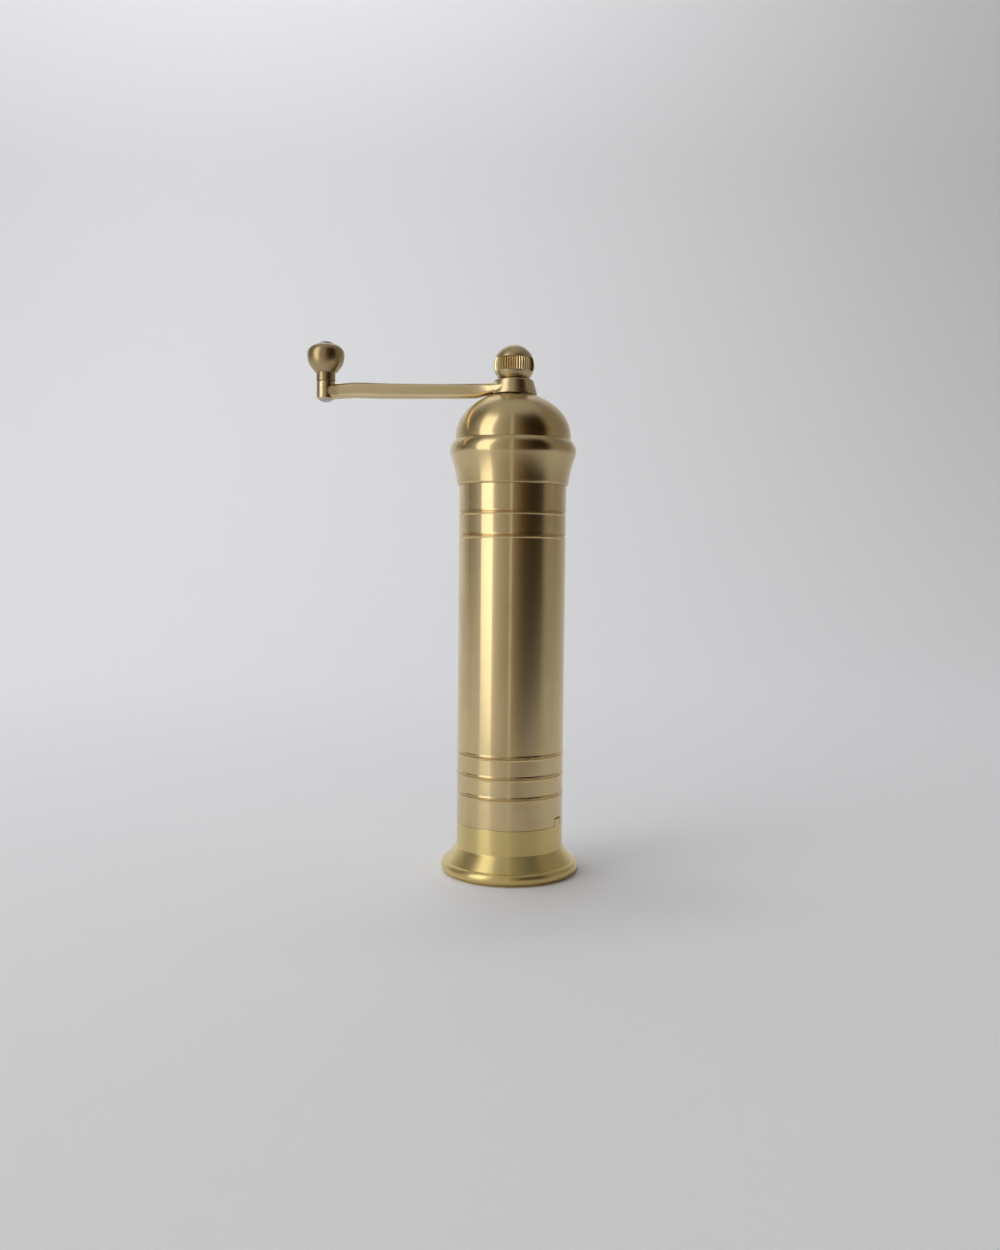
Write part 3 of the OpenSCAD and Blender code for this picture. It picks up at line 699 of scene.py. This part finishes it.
def area_light(name, azimuth, height, distance, width, tall, power, colour, aim=(0, 0, 0.1), mirrored=True):
    """A soft box that the metal mirrors or not, at an azimuth counted from the camera's side to the right."""
    data = bpy.data.lights.new(name, "AREA")
    data.shape, data.size, data.size_y = "RECTANGLE", width, tall
    data.energy, data.color = power, colour
    lamp = bpy.data.objects.new(name, data)
    a = radians(azimuth)
    lamp.location = (distance * sin(a), -distance * cos(a), height)
    lamp.rotation_euler = (Vector(aim) - lamp.location).to_track_quat("-Z", "Y").to_euler()
    lamp.visible_camera = False
    lamp.visible_glossy = mirrored
    bpy.context.scene.collection.objects.link(lamp)
    return lamp


def make_world():
    """The room around the mill: pale behind, a dim warm side in front on the right, mid grey elsewhere."""
    world = bpy.data.worlds.new("studio")
    bpy.context.scene.world = world
    s = Shader(world, "Background", "Generated")
    split = s.node("ShaderNodeSeparateXYZ", {}, {0: s.place})
    x, y, z = (Number(s, split.outputs[i]) for i in range(3))
    turn = s.node("ShaderNodeMath", {"operation": "ARCTAN2"}, {0: x, 1: 0 - y})
    # Azimuth is 0 towards the camera and grows to the right; each entry is (azimuth, colour)
    room = [(-180, (0.50, 0.50, 0.51)), (-122, (0.42, 0.41, 0.41)), (-110, (0.13, 0.11, 0.09)),
            (-98, (0.20, 0.19, 0.17)), (-86, (0.28, 0.27, 0.25)), (-75, (0.50, 0.49, 0.46)),
            (-42, (0.80, 0.79, 0.75)), (-34, (0.56, 0.54, 0.50)), (-22, (0.42, 0.40, 0.37)),
            (-9, (0.34, 0.32, 0.28)), (-6, (0.34, 0.32, 0.28)), (-5, (0.62, 0.61, 0.58)),
            (-2, (0.62, 0.61, 0.58)), (0, (0.28, 0.25, 0.20)), (8, (0.20, 0.165, 0.115)),
            (16, (0.125, 0.092, 0.055)), (24, (0.065, 0.043, 0.020)), (40, (0.020, 0.011, 0.003)),
            (64, (0.020, 0.011, 0.004)), (70, (0.14, 0.11, 0.08)), (78, (0.26, 0.225, 0.18)),
            (92, (0.28, 0.25, 0.205)), (112, (0.24, 0.22, 0.20)), (140, (0.36, 0.35, 0.35))]
    ramp = s.node("ShaderNodeValToRGB", {"stops": [(a / 360 + 0.5, c) for a, c in room]},
                  {0: Number(s, turn.outputs[0]) * (0.5 / pi) + 0.5})
    above = z.ramp(0.75, 0.98)
    seen = s.node("ShaderNodeLightPath").outputs["Is Camera Ray"]
    s.set(Color=s.mix(seen, s.mix(above, ramp.outputs[0], rgb(0.44, 0.44, 0.43)), rgb(0.60, 0.60, 0.62)),
          Strength=1.0)


def make_camera():
    data = bpy.data.cameras.new("camera")
    data.sensor_width = 36.0
    data.lens = 31.36
    data.clip_start = 0.01
    camera = bpy.data.objects.new("camera", data)
    turn = Matrix.Rotation(radians(90 - 3.22), 4, "X") @ Matrix.Rotation(radians(0.55), 4, "Z")
    camera.matrix_world = Matrix.Translation((-0.00427, -0.409, 0.1158)) @ turn
    bpy.context.scene.collection.objects.link(camera)
    bpy.context.scene.camera = camera


make_sweep()
make_world()
make_camera()
area_light("window", -56, 0.44, 1.3, 0.66, 2.06, 5.0, (1.0, 0.985, 0.94))
area_light("ceiling", -98, 1.8, 1.05, 1.45, 1.45, 9.8, (0.97, 0.985, 1.0), mirrored=False)
area_light("wall_wash", 205, 1.9, 0.7, 1.2, 0.8, 12.0, (0.93, 0.96, 1.0), (-0.75, 1.6, 0.8),
           mirrored=False)

scene = bpy.context.scene
scene.view_settings.view_transform = "Standard"
scene.view_settings.look = "None"
